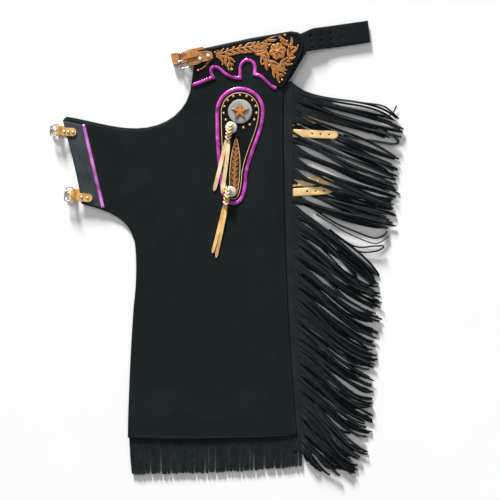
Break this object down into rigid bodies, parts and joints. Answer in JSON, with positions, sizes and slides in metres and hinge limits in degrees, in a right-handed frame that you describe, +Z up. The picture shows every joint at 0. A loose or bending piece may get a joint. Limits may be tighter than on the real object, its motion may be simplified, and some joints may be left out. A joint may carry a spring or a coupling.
{
  "type": "leather chaps",
  "caption": "Fringed leather riding chaps buckled at the front waist, legs folded together and laid flat, with yoke, back belts, thigh straps, conchos and strings.",
  "frame": {"origin": "middle of the footprint, on the surface the chaps lie on", "axes": "+X towards the tips of the outer side fringe, +Y towards the waist, +Z up from the surface"},
  "size_m": [0.7954, 1.017, 0.0186],
  "materials": {
    "black_leather": "semi-matt black grain, pinned in the hand, light creases",
    "fringe_leather": "soft matt black, cut into strips",
    "band_leather": "dark grey grain with a soft gloss",
    "magenta_foil": "metallic magenta foil leather, crinkled highlights",
    "tooled_tan": "carved and stamped tan, dark in the cuts",
    "strap_tan": "natural russet strap, burnished edges",
    "string_tan": "pale latigo string",
    "silver_leather": "silver-grey metallic leather",
    "nickel": "polished nickel plate"
  },
  "bodies": {
    "root": {"left_leg_panel": "black_leather", "right_leg_panel": "black_leather", "left_yoke": "black_leather", "right_yoke": "black_leather", "left_belt": "black_leather", "right_belt": "black_leather", "applique_field": "black_leather", "left_side_fringe": "fringe_leather", "right_side_fringe": "fringe_leather", "left_hem_fringe": "fringe_leather", "right_hem_fringe": "fringe_leather", "left_thigh_band": "band_leather", "left_yoke_piping": "magenta_foil", "left_thigh_piping": "magenta_foil", "applique_border": "magenta_foil", "left_yoke_overlay": "tooled_tan", "waist_chape": "tooled_tan", "right_waist_billet": "tooled_tan", "applique_star": "tooled_tan", "applique_leaf": "tooled_tan", "left_thigh_chape_upper": "strap_tan", "left_thigh_chape_lower": "strap_tan", "right_thigh_chape_upper": "strap_tan", "right_thigh_chape_lower": "strap_tan", "left_billet_upper": "strap_tan", "left_billet_lower": "strap_tan", "right_billet_upper": "strap_tan", "right_billet_lower": "strap_tan", "string_knot_upper": "string_tan", "string_knot_lower": "string_tan", "string_tail_upper_1": "string_tan", "string_tail_upper_2": "string_tan", "string_tail_lower_1": "string_tan", "string_tail_lower_2": "string_tan", "applique_disc": "silver_leather", "left_thigh_frame_upper": "nickel", "left_thigh_frame_lower": "nickel", "right_thigh_frame_upper": "nickel", "right_thigh_frame_lower": "nickel", "left_thigh_tongue_upper": "nickel", "left_thigh_tongue_lower": "nickel", "right_thigh_tongue_upper": "nickel", "right_thigh_tongue_lower": "nickel", "thigh_rivet_upper_1": "nickel", "thigh_rivet_upper_2": "nickel", "thigh_rivet_upper_3": "nickel", "thigh_rivet_lower_1": "nickel", "thigh_rivet_lower_2": "nickel", "waist_frame": "nickel", "waist_tongue": "nickel", "waist_screw_1": "nickel", "waist_screw_2": "nickel", "concho_upper": "nickel", "concho_lower": "nickel"}
  },
  "joints": []
}
